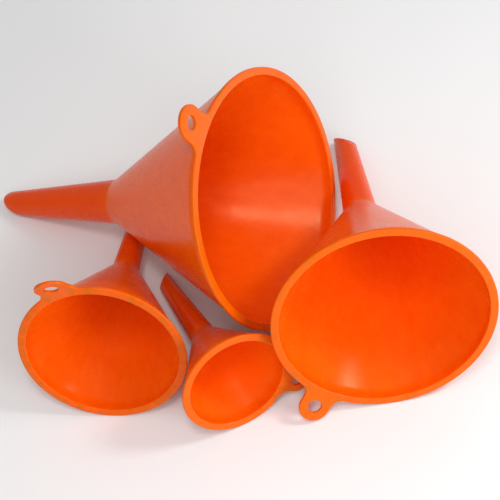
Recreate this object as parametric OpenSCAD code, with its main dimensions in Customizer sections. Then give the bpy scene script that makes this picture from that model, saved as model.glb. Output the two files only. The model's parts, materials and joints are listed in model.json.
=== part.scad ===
// Set of four moulded plastic funnels, lying on their sides on a table.
// Each funnel is one moulding. Its regions (rim flange, lip, bowl, spout and
// hang tab) are separate nodes that meet face to face.
// Local frame of a funnel: mouth face at z = 0, spout towards +Z, +X is the
// direction that ends up pointing down when the funnel lies on the table.

/* [Large funnel] */
// Outside diameter of the rim
large_rim_d = 120; // [118:0.5:121]
// Mouth face to the root of the spout
large_bowl_depth = 86; // [84:0.5:88]
// Length of the spout, measured on its axis
large_spout_len = 64; // [60:0.5:66]
// Outside diameter at the root of the spout
large_root_d = 22; // [21:0.25:22.5]
// Outside diameter at the tip of the spout
large_tip_d = 12.8; // [12:0.1:13.4]
// Wall thickness
large_wall = 1.5; // [1.2:0.1:1.6]
// Thickness of the rim flange and hang tab
large_rim_t = 1.8; // [1.5:0.1:2.1]

/* [Medium funnel] */
// Outside diameter of the rim
medium_rim_d = 100; // [99:0.5:101]
// Mouth face to the root of the spout
medium_bowl_depth = 78; // [76:0.5:80]
// Length of the spout, measured on its axis
medium_spout_len = 60.5; // [58:0.5:64]
// Outside diameter at the root of the spout
medium_root_d = 16.2; // [15:0.1:16.6]
// Outside diameter at the tip of the spout
medium_tip_d = 10.4; // [9.8:0.1:11]
// Wall thickness
medium_wall = 1.4; // [1.1:0.1:1.5]
// Thickness of the rim flange and hang tab
medium_rim_t = 1.6; // [1.4:0.1:1.9]

/* [Small funnel] */
// Outside diameter of the rim
small_rim_d = 77; // [76:0.5:77.5]
// Mouth face to the root of the spout
small_bowl_depth = 58.5; // [57:0.5:60]
// Length of the spout, measured on its axis
small_spout_len = 50; // [46:0.5:54]
// Outside diameter at the root of the spout
small_root_d = 13.2; // [12.6:0.1:13.4]
// Outside diameter at the tip of the spout
small_tip_d = 8.8; // [8.4:0.1:9.2]
// Wall thickness
small_wall = 1.3; // [1:0.1:1.4]
// Thickness of the rim flange and hang tab
small_rim_t = 1.5; // [1.3:0.1:1.8]

/* [Mini funnel] */
// Outside diameter of the rim
mini_rim_d = 53; // [52:0.5:53.5]
// Mouth face to the root of the spout
mini_bowl_depth = 36; // [34.5:0.5:37]
// Length of the spout, measured on its axis
mini_spout_len = 48; // [44:0.5:50]
// Outside diameter at the root of the spout
mini_root_d = 12.4; // [11.8:0.1:12.8]
// Outside diameter at the tip of the spout
mini_tip_d = 7.4; // [7:0.1:7.6]
// Wall thickness
mini_wall = 1.2; // [1:0.1:1.3]
// Thickness of the rim flange and hang tab
mini_rim_t = 1.4; // [1.2:0.1:1.6]

/* [Moulding] */
// Width of the flat rim flange, from its outer edge to the mouth opening
rim_w = 3.7; // [3.4:0.1:4.2]
// Depth of the straight land inside the mouth, rim flange included
lip_h = 4; // [3.5:0.1:5]
// Angle of the spout's slanted end from a square cut
tip_cut = 50; // [40:1:52]

/* [Hang tabs] */
// Diameter of the hang hole, mini funnel apart
hang_hole_d = 6.4; // [5.5:0.1:7]
// Diameter of the mini funnel's hang hole
mini_hole_d = 5.5; // [4.5:0.1:6]
// Radius of the fillets where a hang tab meets the rim
tab_fillet = 5; // [3:0.5:6]
// Forward bend of the medium funnel's hang tab
medium_tab_bend = 17; // [16:1:22]
// Forward bend of the small funnel's hang tab
small_tab_bend = 32; // [0:1:36]

/* [Colours] */
// Face of the rims and hang tabs
rim_colour = "DarkOrange";
// Bowls
bowl_colour = "OrangeRed";
// Spouts
spout_colour = "Tomato";

/* [Hidden] */
$fn = 96;
EPS = 0.01;
// First guess and number of steps for the slope of a resting funnel
FIRST_TILT = 18;
SETTLE_STEPS = 8;

// One list per funnel: its sizes, its hang tab, then where it lies.
// [rim radius, bowl depth, spout length, root radius, tip radius,
//  wall, flange thickness, hang hole radius, tab end radius, tab hole offset,
//  x, y, heading of the spout, tab angle from straight down, tab bend]
large = [large_rim_d / 2, large_bowl_depth, large_spout_len, large_root_d / 2,
         large_tip_d / 2, large_wall, large_rim_t, hang_hole_d / 2, 8, 8.3,
         21.86, 5.81, 150.5, 170.5, 0];
medium = [medium_rim_d / 2, medium_bowl_depth, medium_spout_len, medium_root_d / 2,
          medium_tip_d / 2, medium_wall, medium_rim_t, hang_hole_d / 2, 7.3, 6.2,
          58.66, -64.89, 86.6, 40.5, medium_tab_bend];
small = [small_rim_d / 2, small_bowl_depth, small_spout_len, small_root_d / 2,
         small_tip_d / 2, small_wall, small_rim_t, hang_hole_d / 2, 7.5, 4.5,
         -66.74, -43.79, 74.8, 157.5, small_tab_bend];
mini = [mini_rim_d / 2, mini_bowl_depth, mini_spout_len, mini_root_d / 2,
        mini_tip_d / 2, mini_wall, mini_rim_t, mini_hole_d / 2, 6.5, 5.8,
        -10.14, -66.89, 108.5, -57, 0];

// Names for the entries of a funnel's list
function rim_r(f) = f[0];
function bowl_depth(f) = f[1];
function spout_len(f) = f[2];
function root_r(f) = f[3];
function tip_r(f) = f[4];
function wall(f) = f[5];
function rim_t(f) = f[6];
function hole_r(f) = f[7];
function tab_r(f) = f[8];
function tab_offset(f) = f[9];
function place_x(f) = f[10];
function place_y(f) = f[11];
function heading(f) = f[12];
function tab_angle(f) = f[13];
function tab_bend(f) = f[14];

function mouth_r(f) = rim_r(f) - rim_w;
function length(f) = bowl_depth(f) + spout_len(f);
function taper(f) = (root_r(f) - tip_r(f)) / spout_len(f);

// Radius of the slanted end's edge, at angle a round the spout. The long
// side of the cut is on the hang tab's side.
function cut_run(f, a) = tan(tip_cut) * cos(a - tab_angle(f));
function edge_r(f, a) = tip_r(f) / (1 + taper(f) * cut_run(f, a));
// How far the end's lowest point hangs below the spout's axis at its middle
function tip_drop(f, tilt) = max([
    for (a = [0 : 2 : 358])
        edge_r(f, a) * (cos(a) * cos(tilt) + cut_run(f, a) * sin(tilt))
]);
// Slope of the axis at rest, with the rim's back edge and the tip on the table
function settle(f, tilt, steps) = steps == 0 ? tilt
    : settle(f, atan((rim_r(f) - tip_drop(f, tilt) / cos(tilt)) / (length(f) - rim_t(f))),
             steps - 1);
function rest_tilt(f) = settle(f, FIRST_TILT, SETTLE_STEPS);
function rest_z(f, tilt) = rim_r(f) * cos(tilt) + rim_t(f) * sin(tilt);

// Lays a funnel on the table
module place(f) {
    tilt = rest_tilt(f);
    translate([place_x(f), place_y(f), rest_z(f, tilt)])
        rotate([0, 90 + tilt, heading(f)])
            children();
}

module rim_shape(f) {
    difference() {
        cylinder(r = rim_r(f), h = rim_t(f));
        translate([0, 0, -1])
            cylinder(r = mouth_r(f), h = rim_t(f) + 2);
    }
}

module lip_shape(f) {
    translate([0, 0, rim_t(f)])
        difference() {
            cylinder(r = mouth_r(f) + wall(f), h = lip_h - rim_t(f));
            translate([0, 0, -1])
                cylinder(r = mouth_r(f), h = lip_h - rim_t(f) + 2);
        }
}

module bowl_shape(f) {
    rotate_extrude()
        polygon([
            [mouth_r(f), lip_h],
            [mouth_r(f) + wall(f), lip_h],
            [root_r(f), bowl_depth(f)],
            [root_r(f) - wall(f), bowl_depth(f)]
        ]);
}

module spout_shape(f) {
    reach = spout_len(f) + 2 * root_r(f);
    end_r = root_r(f) - taper(f) * reach;
    difference() {
        translate([0, 0, bowl_depth(f)])
            rotate_extrude()
                polygon([
                    [root_r(f) - wall(f), 0],
                    [root_r(f), 0],
                    [end_r, reach],
                    [end_r - wall(f), reach]
                ]);
        translate([0, 0, length(f)])
            rotate([0, 0, tab_angle(f)])
                rotate([0, -tip_cut, 0])
                    translate([-reach, -reach, 0])
                        cube(2 * reach);
    }
}

// Outline of a hang tab: a round end, parallel sides, and a fillet each side
// that runs out on the rim's edge
module tab_outline(f) {
    hole_x = rim_r(f) + tab_offset(f);
    fillet_y = tab_r(f) + tab_fillet;
    fillet_x = sqrt(pow(rim_r(f) + tab_fillet, 2) - pow(fillet_y, 2));
    foot = rim_r(f) / (rim_r(f) + tab_fillet);
    difference() {
        union() {
            translate([hole_x, 0])
                circle(r = tab_r(f));
            translate([fillet_x, -tab_r(f)])
                square([hole_x - fillet_x, 2 * tab_r(f)]);
            difference() {
                polygon([
                    [foot * fillet_x, -foot * fillet_y],
                    [fillet_x + EPS, -tab_r(f)],
                    [fillet_x + EPS, tab_r(f)],
                    [foot * fillet_x, foot * fillet_y],
                    [rim_r(f) - rim_w, 0]
                ]);
                for (side = [-1, 1])
                    translate([fillet_x, side * fillet_y])
                        circle(r = tab_fillet);
            }
        }
        translate([hole_x, 0])
            circle(r = hole_r(f));
    }
}

// The tab bends about a line just inside the rim's edge
module tab_shape(f) {
    bend_x = rim_r(f) - 1;
    difference() {
        rotate([0, 0, tab_angle(f)])
            translate([bend_x, 0, 0])
                rotate([0, tab_bend(f), 0])
                    translate([-bend_x, 0, 0])
                        linear_extrude(rim_t(f))
                            tab_outline(f);
        translate([0, 0, -rim_r(f)])
            cylinder(r = rim_r(f), h = 2 * rim_r(f));
    }
}

module large_rim() { color(rim_colour) place(large) rim_shape(large); }
module large_lip() { color(bowl_colour) place(large) lip_shape(large); }
module large_bowl() { color(bowl_colour) place(large) bowl_shape(large); }
module large_spout() { color(spout_colour) place(large) spout_shape(large); }
module large_hang_tab() { color(rim_colour) place(large) tab_shape(large); }

module medium_rim() { color(rim_colour) place(medium) rim_shape(medium); }
module medium_lip() { color(bowl_colour) place(medium) lip_shape(medium); }
module medium_bowl() { color(bowl_colour) place(medium) bowl_shape(medium); }
module medium_spout() { color(spout_colour) place(medium) spout_shape(medium); }
module medium_hang_tab() { color(rim_colour) place(medium) tab_shape(medium); }

module small_rim() { color(rim_colour) place(small) rim_shape(small); }
module small_lip() { color(bowl_colour) place(small) lip_shape(small); }
module small_bowl() { color(bowl_colour) place(small) bowl_shape(small); }
module small_spout() { color(spout_colour) place(small) spout_shape(small); }
module small_hang_tab() { color(rim_colour) place(small) tab_shape(small); }

module mini_rim() { color(rim_colour) place(mini) rim_shape(mini); }
module mini_lip() { color(bowl_colour) place(mini) lip_shape(mini); }
module mini_bowl() { color(bowl_colour) place(mini) bowl_shape(mini); }
module mini_spout() { color(spout_colour) place(mini) spout_shape(mini); }
module mini_hang_tab() { color(rim_colour) place(mini) tab_shape(mini); }

large_rim();
large_lip();
large_bowl();
large_spout();
large_hang_tab();
medium_rim();
medium_lip();
medium_bowl();
medium_spout();
medium_hang_tab();
small_rim();
small_lip();
small_bowl();
small_spout();
small_hang_tab();
mini_rim();
mini_lip();
mini_bowl();
mini_spout();
mini_hang_tab();
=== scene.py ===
"""Looks for a set of four moulded plastic funnels lying on a table."""
import json
import math

import bmesh
import bpy
from mathutils import Matrix, Vector


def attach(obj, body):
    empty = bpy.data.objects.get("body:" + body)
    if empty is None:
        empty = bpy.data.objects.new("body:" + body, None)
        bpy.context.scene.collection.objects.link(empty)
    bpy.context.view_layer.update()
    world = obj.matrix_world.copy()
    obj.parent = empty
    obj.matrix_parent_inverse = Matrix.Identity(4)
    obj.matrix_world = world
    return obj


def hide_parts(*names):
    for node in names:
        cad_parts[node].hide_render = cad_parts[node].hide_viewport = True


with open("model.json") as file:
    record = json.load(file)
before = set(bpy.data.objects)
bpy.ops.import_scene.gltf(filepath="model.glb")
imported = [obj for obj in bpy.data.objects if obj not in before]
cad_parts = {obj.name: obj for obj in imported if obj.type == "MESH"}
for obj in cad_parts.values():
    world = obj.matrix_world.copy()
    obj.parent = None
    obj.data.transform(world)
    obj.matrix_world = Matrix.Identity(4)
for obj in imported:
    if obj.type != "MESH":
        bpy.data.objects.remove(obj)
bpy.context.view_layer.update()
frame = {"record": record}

MM = 0.001

# Sizes in millimetres, the same as the CAD part's.
FUNNELS = {
    "large": dict(rim_r=60, bowl_depth=86, spout_len=64, root_r=11, tip_r=6.4, wall=1.5,
                  rim_t=1.8, hole_r=3.2, tab_r=8, tab_offset=8.3, tab_bend=0),
    "medium": dict(rim_r=50, bowl_depth=78, spout_len=60.5, root_r=8.1, tip_r=5.2, wall=1.4,
                   rim_t=1.6, hole_r=3.2, tab_r=7.3, tab_offset=6.2, tab_bend=17),
    "small": dict(rim_r=38.5, bowl_depth=58.5, spout_len=50, root_r=6.6, tip_r=4.4, wall=1.3,
                  rim_t=1.5, hole_r=3.2, tab_r=7.5, tab_offset=4.5, tab_bend=32),
    "mini": dict(rim_r=26.5, bowl_depth=36, spout_len=48, root_r=6.2, tip_r=3.7, wall=1.2,
                 rim_t=1.4, hole_r=2.75, tab_r=6.5, tab_offset=5.8, tab_bend=0),
}
REGIONS = ("rim", "lip", "bowl", "spout", "hang_tab")

RIM_W = 3.7          # flat rim flange, outer edge to mouth opening
LIP_H = 4.0          # straight land inside the mouth
TIP_CUT = math.tan(math.radians(50))  # slope of a spout's slanted end
TAB_FILLET = 5.0     # where a tab's sides run out on the rim
TAB_HINGE = 1.0      # from the rim's edge in to the line where a tab starts to bend
TAB_BEND_RUN = 2.5   # length of tab that takes up the bend
EDGE_R = 0.45        # moulded outer edges
MOUTH_EDGE_R = 0.5   # inner edge of the mouth
TIP_EDGE_R = 0.3     # edges of the spout's end
HOLE_EDGE = 0.25     # widening of the hang hole at both faces
LIP_CORNER_R = 9.0   # inside, lip to cone
LIP_OUTER_R = 2.0    # outside, lip to cone
LIP_FILLET = 0.8     # under the rim flange
ROOT_FILLET = 5.0    # outside, bowl to spout
SPOUT_BLEND = 3.0    # length over which the colour turns to the spout's painted shade

# Linear colours of the plastic; the rim and spout colours are painted shade
BODY_ORANGE = (0.90, 0.108, 0.0010, 1)
DEEP_ORANGE = (0.84, 0.086, 0.0008, 1)
WARM_ORANGE = (0.92, 0.124, 0.0012, 1)
# painted shade: the rim flange is coloured darker than the body
RIM_PAINTED_SHADE = (0.64, 0.118, 0.0005, 1)
# painted shade: the spout is coloured darker and redder than the body
SPOUT_PAINTED_SHADE = (0.82, 0.050, 0.0008, 1)
SCUFF = (0.95, 0.24, 0.08, 1)

# Fineness of the mesh
EDGE_STEPS = 4       # round a flange edge
PLAIN_COLUMNS = 200  # round the rim, outside the tab
CONE_STEPS = 14      # along a bowl
SPOUT_STEPS = 12     # along a spout
HOLE_STEPS = 64      # round a hang hole
SHARP_ANGLE = math.radians(32)

# Camera and lights, in metres and watts
CAMERA_PLACE = (0.0063, -0.4054, 0.6276)
CAMERA_PITCH = math.radians(55.92)  # below the horizon
CAMERA_YAW = math.radians(-0.26)
CAMERA_ROLL = -12.175
LENS_MM = 111.2
ROOM_LIGHT = 0.43
LAMPS = {  # place, target, size, power
    "window": ((0.60, -0.06, 0.60), (0.02, 0, 0.05), (0.16, 0.16), 2.2),
    "overhead": ((0, -0.38, 1.24), (0, 0, 0.05), (0.2, 0.3), 3.3),
    "front": ((0.42, -0.58, 0.22), (0.04, -0.03, 0.05), (0.3, 0.3), 2.3),
    "fill": ((-0.1, -0.5, 0.62), (0, 0, 0.05), (0.4, 0.4), 1.1),
}
FLOOR_HALF = 3.0


# ---------------------------------------------------------------- geometry

def lay(name):
    """Local frame of a funnel from the CAD's mounts: X to the tab, Z down the spout."""
    mounts = {m["name"]: m for m in frame["record"]["mounts"]}
    outlet = mounts[name + "_spout_outlet"]
    tip = Vector(outlet["pos_m"])
    axis = Vector(outlet["axis"]).normalized()
    face = Vector(mounts[name + "_mouth_face"]["pos_m"])
    centre = tip - axis * (tip - face).dot(axis)
    tab = Vector(mounts[name + "_hang_hole"]["pos_m"]) - centre
    tab = (tab - axis * tab.dot(axis)).normalized()
    place = Matrix((tab, axis.cross(tab), axis)).transposed().to_4x4()
    place.translation = centre
    return place


def arc(centre, radius, start, end, steps):
    """Points on an arc, angles in degrees."""
    out = []
    for i in range(steps + 1):
        a = math.radians(start + (end - start) * i / steps)
        out.append((centre[0] + radius * math.cos(a), centre[1] + radius * math.sin(a)))
    return out


def half_outline(f):
    """Upper half of the tab's outline, from the rim to the far end of the tab."""
    r, tab_r = f["rim_r"], f["tab_r"]
    hole_x = r + f["tab_offset"]
    fy = tab_r + TAB_FILLET
    fx = math.sqrt((r + TAB_FILLET) ** 2 - fy ** 2)
    start = math.degrees(math.atan2(-fy, -fx))
    pts = arc((fx, fy), TAB_FILLET, start, -90, 9)
    pts += [(fx + (hole_x - fx) * i / 3, tab_r) for i in range(1, 3)]
    pts += arc((hole_x, 0), tab_r, 90, 0, 16)
    return pts


def columns(f):
    """One (angle, outline point) for each column round the funnel."""
    half = half_outline(f)
    foot = math.atan2(half[0][1], half[0][0])
    n = len(half) - 1
    cols = [(foot * (1 - i / n), p) for i, p in enumerate(half)]
    cols = [(-a, (x, -y)) for a, (x, y) in cols[:-1]] + cols[::-1]
    sweep = 2 * (math.pi - foot)
    for i in range(1, PLAIN_COLUMNS):
        a = foot + sweep * i / PLAIN_COLUMNS
        cols.append((a, (f["rim_r"] * math.cos(a), f["rim_r"] * math.sin(a))))
    return cols


def inward(points):
    """Unit normals of a closed outline, pointing inwards."""
    out = []
    for i in range(len(points)):
        x0, y0 = points[i - 1]
        x1, y1 = points[(i + 1) % len(points)]
        d = math.hypot(x1 - x0, y1 - y0)
        out.append((-(y1 - y0) / d, (x1 - x0) / d))
    return out


def rounded(p0, p1, p2, radius, steps):
    """The corner at p1 of a profile, as an arc of the given radius."""
    a, b, c = Vector(p0), Vector(p1), Vector(p2)
    u, v = (a - b).normalized(), (c - b).normalized()
    half = u.angle(v) / 2
    centre = b + (u + v).normalized() * radius / math.sin(half)
    reach = radius / math.tan(half)
    first, last = b + u * reach - centre, b + v * reach - centre
    start = math.degrees(math.atan2(first.y, first.x))
    turn = math.degrees(math.atan2(last.y, last.x)) - start
    turn = (turn + 180) % 360 - 180
    return arc(centre, radius, start, start + turn, steps)


def between(p, q, steps):
    """Points strictly between two profile points."""
    return [tuple(Vector(p).lerp(Vector(q), i / steps)) for i in range(1, steps)]


def shell_loops(f):
    """Closed list of loops round the moulding's section, each a list of points."""
    cols = columns(f)
    outline = [p for _, p in cols]
    normals = inward(outline)
    mouth = f["rim_r"] - RIM_W
    outer = mouth + f["wall"]
    depth, t = f["bowl_depth"], f["rim_t"]
    end = depth + f["spout_len"]
    taper = (f["root_r"] - f["tip_r"]) / f["spout_len"]

    def ring(r, z):
        return [(r * math.cos(a), r * math.sin(a), z) for a, _ in cols]

    def edge(inset, z):
        return [(x + nx * inset, y + ny * inset, z)
                for (x, y), (nx, ny) in zip(outline, normals)]

    def mix(a, b, k):
        return [tuple(Vector(p).lerp(Vector(q), k)) for p, q in zip(a, b)]

    def spout(r_root, k, inset=0.0, back=0.0):
        """Loop at fraction k of the spout, sheared so the last one is the slanted end."""
        out = []
        for a, _ in cols:
            r_end = (r_root - taper * f["spout_len"]) / (1 + taper * TIP_CUT * math.cos(a))
            z = depth + (end + r_end * TIP_CUT * math.cos(a) - back - depth) * k
            r = r_root - taper * (z - depth) - inset
            out.append((r * math.cos(a), r * math.sin(a), z))
        return out

    loops = []
    # mouth face, out to the edge of the rim and tab
    first = ring(mouth + MOUTH_EDGE_R, 0)
    face_end = edge(EDGE_R, 0)
    loops += [mix(first, face_end, k) for k in (0, 0.25, 0.5, 0.75)]
    # rounded outer edge, front and back
    steps = range(EDGE_STEPS + 1)
    for i in steps:
        a = math.pi / 2 * i / EDGE_STEPS
        loops.append(edge(EDGE_R * (1 - math.sin(a)), EDGE_R * (1 - math.cos(a))))
    for i in steps:
        a = math.pi / 2 * i / EDGE_STEPS
        loops.append(edge(EDGE_R * (1 - math.cos(a)), t - EDGE_R * (1 - math.sin(a))))
    # back of the flange, in to the lip
    back_in = ring(outer + LIP_FILLET, t)
    loops += [mix(loops[-1], back_in, k) for k in (0.35, 0.7)]
    for r, z in arc((outer + LIP_FILLET, t + LIP_FILLET), LIP_FILLET, -90, -180, 4):
        loops.append(ring(r, z))
    # outside of the lip, bowl and root of the spout
    along = 20  # a point this far down the spout gives its direction
    tip = (f["root_r"] - taper * along, depth + along)
    lip_corner = rounded((outer, t), (outer, LIP_H), (f["root_r"], depth), LIP_OUTER_R, 4)
    root = rounded((outer, LIP_H), (f["root_r"], depth), tip, ROOT_FILLET, 8)
    for r, z in lip_corner + between(lip_corner[-1], root[0], CONE_STEPS) + root:
        loops.append(ring(r, z))
    k0 = (root[-1][1] - depth) / f["spout_len"]
    loops += [spout(f["root_r"], k0 + (1 - k0) * i / SPOUT_STEPS,
                    back=TIP_EDGE_R * (i / SPOUT_STEPS)) for i in range(1, SPOUT_STEPS + 1)]
    loops.append(spout(f["root_r"], 1, inset=TIP_EDGE_R * 0.35, back=TIP_EDGE_R * 0.3))
    loops.append(spout(f["root_r"], 1, inset=TIP_EDGE_R, back=TIP_EDGE_R * 1.2))
    # inside of the spout, back up to the mouth
    inner_root = f["root_r"] - f["wall"]
    loops.append(spout(inner_root, 1, inset=-TIP_EDGE_R, back=0))
    loops.append(spout(inner_root, 1, inset=0, back=TIP_EDGE_R))
    inner_tip = (inner_root - taper * along, depth + along)
    root = rounded(inner_tip, (inner_root, depth), (mouth, LIP_H), ROOT_FILLET + f["wall"], 8)
    k0 = (root[0][1] - depth) / f["spout_len"]
    loops += [spout(inner_root, k0 + (1 - k0) * i / SPOUT_STEPS,
                    back=TIP_EDGE_R * (i / SPOUT_STEPS)) for i in range(SPOUT_STEPS - 1, 0, -1)]
    lip_corner = rounded((inner_root, depth), (mouth, LIP_H), (mouth, 0), LIP_CORNER_R, 6)
    for r, z in root + between(root[-1], lip_corner[0], CONE_STEPS) + lip_corner:
        loops.append(ring(r, z))
    for r, z in arc((mouth + MOUTH_EDGE_R, MOUTH_EDGE_R), MOUTH_EDGE_R, 180, 270, 4)[:-1]:
        loops.append(ring(r, z))
    return loops


def bend_tab(f, point):
    """A point of a bent tab: it turns forwards about a line just inside the rim's edge."""
    x, y, z = point
    hinge = f["rim_r"] - TAB_HINGE
    run = x - hinge
    angle = math.radians(f["tab_bend"])
    if run <= 0 or not angle:
        return point
    turn = angle * min(run / TAB_BEND_RUN, 1)
    flat = min(run, TAB_BEND_RUN)
    bend = flat / turn if turn > 1e-6 else 0
    bx = bend * math.sin(turn) + (run - flat) * math.cos(turn) if bend else run
    bz = -bend * (1 - math.cos(turn)) - (run - flat) * math.sin(turn) if bend else 0
    return (hinge + bx + z * math.sin(turn), y, bz + z * math.cos(turn))


def mesh_from_loops(name, loops):
    """Mesh of quads over a closed stack of closed loops."""
    n = len(loops[0])
    verts = [Vector(p) * MM for loop in loops for p in loop]
    faces = []
    for j in range(len(loops)):
        k = (j + 1) % len(loops)
        for i in range(n):
            m = (i + 1) % n
            faces.append((j * n + i, k * n + i, k * n + m, j * n + m))
    mesh = bpy.data.meshes.new(name)
    mesh.from_pydata(verts, [], faces)
    mesh.update()
    return mesh


def new_object(name, mesh):
    obj = bpy.data.objects.new(name, mesh)
    bpy.context.scene.collection.objects.link(obj)
    return obj


def hole_cutter(f):
    """Drill for the hang hole, widened at both faces for a soft edge."""
    x, r, t = f["rim_r"] + f["tab_offset"], f["hole_r"], f["rim_t"]
    wide = r + HOLE_EDGE
    profile = [(wide + 1, -1), (wide, 0), (r, HOLE_EDGE), (r, t - HOLE_EDGE), (wide, t),
               (wide + 1, t + 1)]
    loops = []
    for pr, z in profile:
        ring = []
        for i in range(HOLE_STEPS):
            a = 2 * math.pi * i / HOLE_STEPS
            ring.append((x + pr * math.cos(a), pr * math.sin(a), z))
        loops.append(ring)
    bm = bmesh.new()
    rings = [[bm.verts.new(Vector(bend_tab(f, p)) * MM) for p in loop] for loop in loops]
    for a, b in zip(rings, rings[1:]):
        for i in range(HOLE_STEPS):
            j = (i + 1) % HOLE_STEPS
            bm.faces.new((a[i], a[j], b[j], b[i]))
    bm.faces.new(rings[0][::-1])
    bm.faces.new(rings[-1])
    bmesh.ops.recalc_face_normals(bm, faces=bm.faces)
    mesh = bpy.data.meshes.new("drill")
    bm.to_mesh(mesh)
    bm.free()
    return new_object("drill", mesh)


def drill(obj, cutter):
    """Cuts the cutter's shape out of obj and removes the cutter."""
    cut = obj.modifiers.new("hole", "BOOLEAN")
    cut.operation = "DIFFERENCE"
    cut.solver = "EXACT"
    cut.object = cutter
    depsgraph = bpy.context.evaluated_depsgraph_get()
    mesh = bpy.data.meshes.new_from_object(obj.evaluated_get(depsgraph))
    obj.modifiers.clear()
    old = obj.data
    obj.data = mesh
    bpy.data.meshes.remove(old)
    bpy.data.objects.remove(cutter)


def mark_places(mesh, f):
    """Keeps each point's place in the funnel's own frame, and its region of the moulding."""
    mouth = f["rim_r"] - RIM_W
    places = [v.co / MM for v in mesh.vertices]
    place = mesh.attributes.new("funnel_place", "FLOAT_VECTOR", "POINT")
    for item, p in zip(place.data, places):
        item.vector = p
    # the rim flange: carries the rim's painted shade and its extra roughness
    flange = mesh.attributes.new("flange", "FLOAT", "POINT")
    for item, p in zip(flange.data, places):
        on_rim = p.xy.length > mouth + 0.1 and p.z < f["rim_t"] + 0.1
        item.value = 1.0 if on_rim else 0.0
    # a ramp down the spout, which carries the spout's painted shade
    spout = mesh.attributes.new("spout", "FLOAT", "POINT")
    for item, p in zip(spout.data, places):
        item.value = min(max((p.z - f["bowl_depth"]) / SPOUT_BLEND, 0.0), 1.0)


def build_funnel(name, material):
    f = FUNNELS[name]
    loops = [[bend_tab(f, p) for p in loop] for loop in shell_loops(f)]
    obj = new_object(name + "_moulding", mesh_from_loops(name + "_moulding", loops))
    bm = bmesh.new()
    bm.from_mesh(obj.data)
    bmesh.ops.recalc_face_normals(bm, faces=bm.faces)
    bm.to_mesh(obj.data)
    bm.free()
    drill(obj, hole_cutter(f))
    for poly in obj.data.polygons:
        poly.use_smooth = True
    obj.data.set_sharp_from_angle(angle=SHARP_ANGLE)
    obj.data.materials.clear()
    obj.data.materials.append(material)
    mark_places(obj.data, f)
    obj.data.transform(lay(name))
    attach(obj, name + "_funnel")
    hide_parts(*[f"{name}_{region}" for region in REGIONS])


# --------------------------------------------------------------- materials

class Nodes:
    """Short calls to make and link the nodes of one material."""

    def __init__(self, material):
        material.use_nodes = True
        self.tree = material.node_tree
        self.shader = self.tree.nodes["Principled BSDF"]

    def plug(self, value, socket):
        if hasattr(value, "is_linked"):
            self.tree.links.new(value, socket)
        else:
            socket.default_value = value

    def add(self, kind, inputs=None, **settings):
        node = self.tree.nodes.new("ShaderNode" + kind)
        for key, value in settings.items():
            setattr(node, key, value)
        for key, value in (inputs or {}).items():
            self.plug(value, node.inputs[key])
        return node

    def attribute(self, name, output):
        return self.add("Attribute", attribute_name=name).outputs[output]

    def math(self, operation, a, b=0.0):
        return self.add("Math", {0: a, 1: b}, operation=operation).outputs[0]

    def vector(self, operation, a, b):
        return self.add("VectorMath", {0: a, 1: b}, operation=operation).outputs[0]

    def noise(self, place, scale, detail=2.0, roughness=0.5):
        inputs = {"Vector": place, "Scale": scale, "Detail": detail, "Roughness": roughness}
        return self.add("TexNoise", inputs).outputs["Fac"]

    def span(self, value, low, high, new_low=0.0, new_high=1.0, smooth=False):
        kind = "SMOOTHSTEP" if smooth else "LINEAR"
        inputs = {0: value, 1: low, 2: high, 3: new_low, 4: new_high}
        return self.add("MapRange", inputs, interpolation_type=kind).outputs[0]

    def mix(self, factor, a, b):
        node = self.add("Mix", data_type="RGBA")
        for value, key in ((factor, 0), (a, 6), (b, 7)):
            self.plug(value, node.inputs[key])
        return node.outputs[2]


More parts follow.
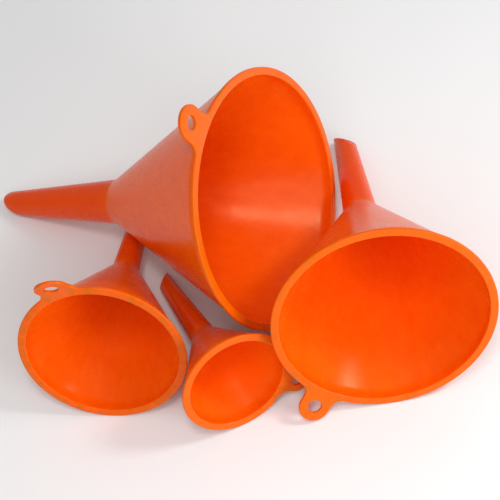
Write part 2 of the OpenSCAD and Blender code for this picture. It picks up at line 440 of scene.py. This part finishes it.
def plastic():
    """Glossy orange polyethylene: flow streaks, mould rings, scuffs, a fine grain, and painted
    shade on the rim flange and spout.
    """
    mat = bpy.data.materials.new("orange_polyethylene")
    n = Nodes(mat)
    place = n.attribute("funnel_place", "Vector")
    flange = n.attribute("flange", "Fac")
    spout = n.attribute("spout", "Fac")
    parts = n.add("SeparateXYZ", {0: place}).outputs
    across = n.add("CombineXYZ", {0: parts[0], 1: parts[1], 2: 0.0}).outputs[0]
    around = n.vector("NORMALIZE", across, (0, 0, 0))

    # plastic that ran down the mould from the rim to the spout, in soft streaks
    drift = n.add("CombineXYZ", {2: n.math("MULTIPLY", parts[2], 0.018)}).outputs[0]
    flow_place = n.vector("ADD", around, drift)
    flow = n.noise(flow_place, 9.0, detail=3.0, roughness=0.55)
    cloud = n.noise(place, 0.05, detail=3.0, roughness=0.6)

    # rings that the turned mould left
    ring_place = n.vector("MULTIPLY", place, (0.03, 0.03, 2.2))
    rings = n.noise(ring_place, 1.0, detail=3.0, roughness=0.65)

    # short scuffs in two directions
    scuffs = []
    for stretch, seed in (((0.35, 3.2, 0.5), 3.0), ((2.6, 0.3, 0.4), 17.0)):
        stretched = n.vector("MULTIPLY", place, stretch)
        lines = n.noise(n.vector("ADD", stretched, (seed, seed, seed)), 1.0, 1.0, 0.4)
        off_centre = n.math("ABSOLUTE", n.math("SUBTRACT", lines, 0.5))
        scuffs.append(n.span(off_centre, 0.0, 0.012, 1.0, 0.0))
    patches = n.span(n.noise(place, 0.09), 0.52, 0.68, smooth=True)
    scuff = n.math("MULTIPLY", n.math("MAXIMUM", *scuffs), patches)
    grain = n.noise(place, 1.6, roughness=0.6)

    streak = n.span(flow, 0.3, 0.7)
    body = n.mix(streak, DEEP_ORANGE, BODY_ORANGE)
    body = n.mix(n.span(cloud, 0.35, 0.7, 0.0, 0.5), body, WARM_ORANGE)
    # painted shade: the spout darkens to a redder orange
    body = n.mix(n.math("MULTIPLY", spout, 0.7), body, SPOUT_PAINTED_SHADE)
    # painted shade: the rim flange mixes towards a darker orange
    colour = n.mix(flange, body, n.mix(streak, BODY_ORANGE, RIM_PAINTED_SHADE))
    colour = n.mix(n.math("MULTIPLY", scuff, 0.25), colour, SCUFF)
    n.plug(colour, n.shader.inputs["Base Color"])

    rough = n.span(grain, 0.3, 0.7, 0.20, 0.27)
    rough = n.math("ADD", rough, n.span(cloud, 0.35, 0.7, 0.0, 0.06))
    rough = n.math("ADD", rough, n.math("MULTIPLY", flange, 0.04))
    rough = n.math("ADD", rough, n.math("MULTIPLY", scuff, 0.18))
    n.plug(rough, n.shader.inputs["Roughness"])

    # height, strength and depth in mm; a negative depth is a groove
    wave = n.noise(place, 0.11)
    layers = ((wave, 0.5, 0.25), (rings, 0.12, 0.02), (grain, 0.3, 0.02), (scuff, 0.3, -0.01))
    normal = None
    for height, strength, depth in layers:
        inputs = {"Height": height, "Strength": strength, "Distance": abs(depth) * MM}
        if normal:
            inputs["Normal"] = normal
        normal = n.add("Bump", inputs, invert=depth < 0).outputs[0]
    n.plug(normal, n.shader.inputs["Normal"])

    n.plug(0.3, n.shader.inputs["Specular IOR Level"])
    n.plug((1.0, 0.72, 0.4, 1), n.shader.inputs["Specular Tint"])
    n.plug(0.2, n.shader.inputs["Subsurface Weight"])
    n.plug((1.0, 0.3, 0.08), n.shader.inputs["Subsurface Radius"])
    n.plug(0.003, n.shader.inputs["Subsurface Scale"])
    return mat


def floor_material():
    mat = bpy.data.materials.new("pale_table")
    mat.use_nodes = True
    bsdf = mat.node_tree.nodes["Principled BSDF"]
    bsdf.inputs["Base Color"].default_value = (0.85, 0.85, 0.85, 1)
    bsdf.inputs["Roughness"].default_value = 0.6
    return mat


# ------------------------------------------------------------------- stage

def build_floor():
    mesh = bpy.data.meshes.new("floor")
    s = FLOOR_HALF
    mesh.from_pydata([(-s, -s, 0), (s, -s, 0), (s, s, 0), (-s, s, 0)], [], [(0, 1, 2, 3)])
    obj = new_object("floor", mesh)
    mesh.materials.append(floor_material())


def aim(obj, place, target, roll=0.0):
    """Points an object's -Z at the target, turned by roll about that line."""
    direction = Vector(target) - Vector(place)
    turn = direction.to_track_quat("-Z", "Y").to_matrix().to_4x4()
    obj.matrix_world = (Matrix.Translation(place) @ turn
                        @ Matrix.Rotation(math.radians(roll), 4, "Z"))


def build_camera():
    data = bpy.data.cameras.new("camera")
    data.sensor_width = 36
    data.lens = LENS_MM
    data.clip_start = 0.01
    obj = bpy.data.objects.new("camera", data)
    bpy.context.scene.collection.objects.link(obj)
    place = Vector(CAMERA_PLACE)
    level = math.cos(CAMERA_PITCH)
    look = Vector((-math.sin(CAMERA_YAW) * level, math.cos(CAMERA_YAW) * level,
                   -math.sin(CAMERA_PITCH)))
    aim(obj, place, place + look, roll=CAMERA_ROLL)
    bpy.context.scene.camera = obj


def area_light(name, place, target, size, power):
    data = bpy.data.lights.new(name, "AREA")
    data.shape = "RECTANGLE"
    data.size, data.size_y = size
    data.energy = power
    obj = bpy.data.objects.new(name, data)
    bpy.context.scene.collection.objects.link(obj)
    aim(obj, Vector(place), Vector(target))


def build_lights():
    """Even room light and four soft lamps."""
    world = bpy.data.worlds.new("studio")
    bpy.context.scene.world = world
    world.use_nodes = True
    background = world.node_tree.nodes["Background"]
    background.inputs["Color"].default_value = (1, 1, 1, 1)
    background.inputs["Strength"].default_value = ROOM_LIGHT
    for name, lamp in LAMPS.items():
        area_light(name, *lamp)


material = plastic()
for name in FUNNELS:
    build_funnel(name, material)
build_floor()
build_camera()
build_lights()
bpy.context.scene.view_settings.view_transform = "Standard"
